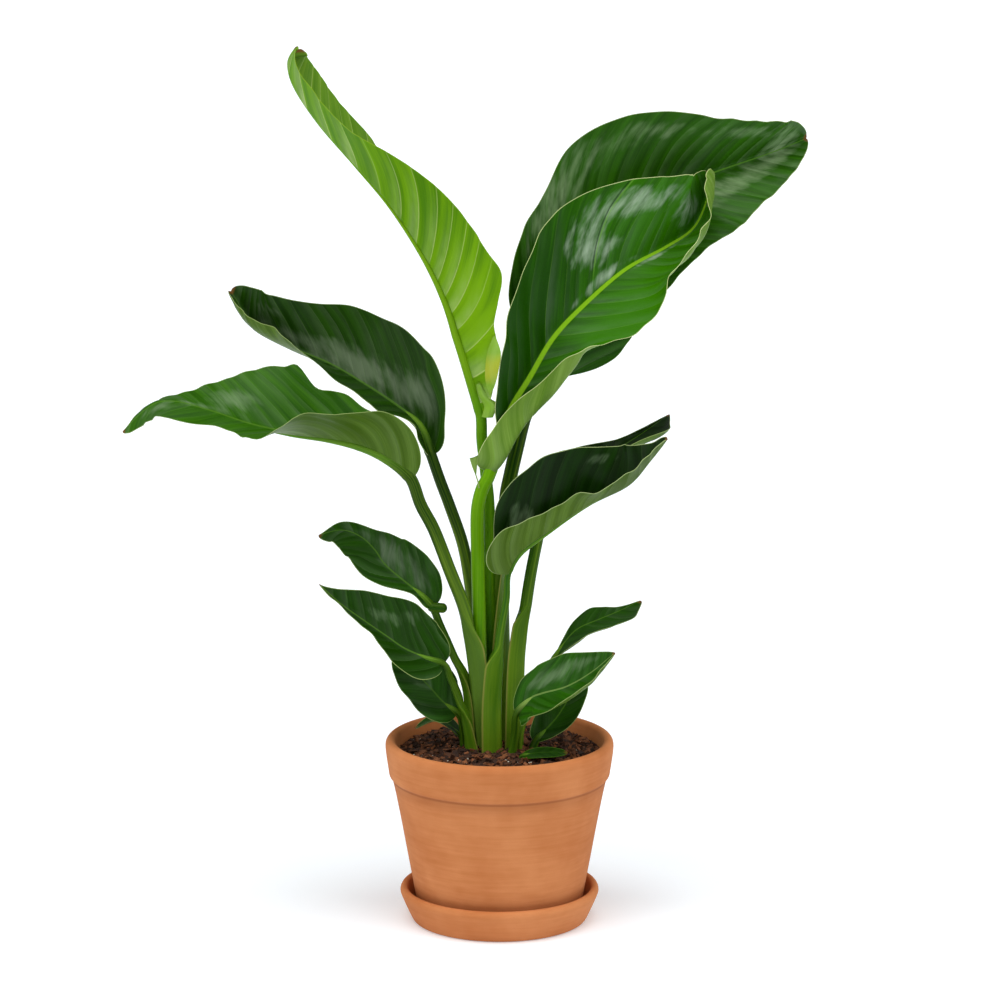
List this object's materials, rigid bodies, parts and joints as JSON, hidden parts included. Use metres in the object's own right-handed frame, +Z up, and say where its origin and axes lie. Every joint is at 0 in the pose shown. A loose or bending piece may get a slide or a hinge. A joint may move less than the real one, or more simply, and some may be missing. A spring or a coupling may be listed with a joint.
{
  "type": "potted bird of paradise",
  "caption": "Leafy house plant with tall paddle-shaped leaves on long stalks, growing from bark soil in a tapered clay pot that stands on its saucer.",
  "frame": {"origin": "centre of the saucer's underside, on the surface that it stands on", "axes": "+Z up, -Y towards the front of the plant as pictured, +X to its right"},
  "size_m": [0.6186, 0.2426, 0.8033],
  "materials": {
    "terracotta": "matt fired clay",
    "bark_soil": "coarse brown bark and peat with white perlite",
    "green_leaf": "waxy dark green leaf, paler under",
    "bright_green_leaf": "glossy vivid green leaf, paler under",
    "yellow_green_leaf": "soft yellow-green young leaf"
  },
  "bodies": {
    "root": {"saucer": "terracotta", "pot": "terracotta", "potting_soil": "bark_soil", "new_leaf": "yellow_green_leaf", "tall_leaf": "green_leaf", "bright_leaf": "bright_green_leaf", "trough_leaf": "green_leaf", "shadow_leaf": "green_leaf", "high_left_leaf": "green_leaf", "low_left_leaf": "green_leaf", "small_left_leaf": "green_leaf", "curled_left_leaf": "green_leaf", "oval_left_leaf": "green_leaf", "rim_left_leaf": "green_leaf", "small_right_leaf": "green_leaf", "front_right_leaf": "green_leaf", "low_right_leaf": "green_leaf", "soil_leaf": "green_leaf"}
  },
  "joints": []
}
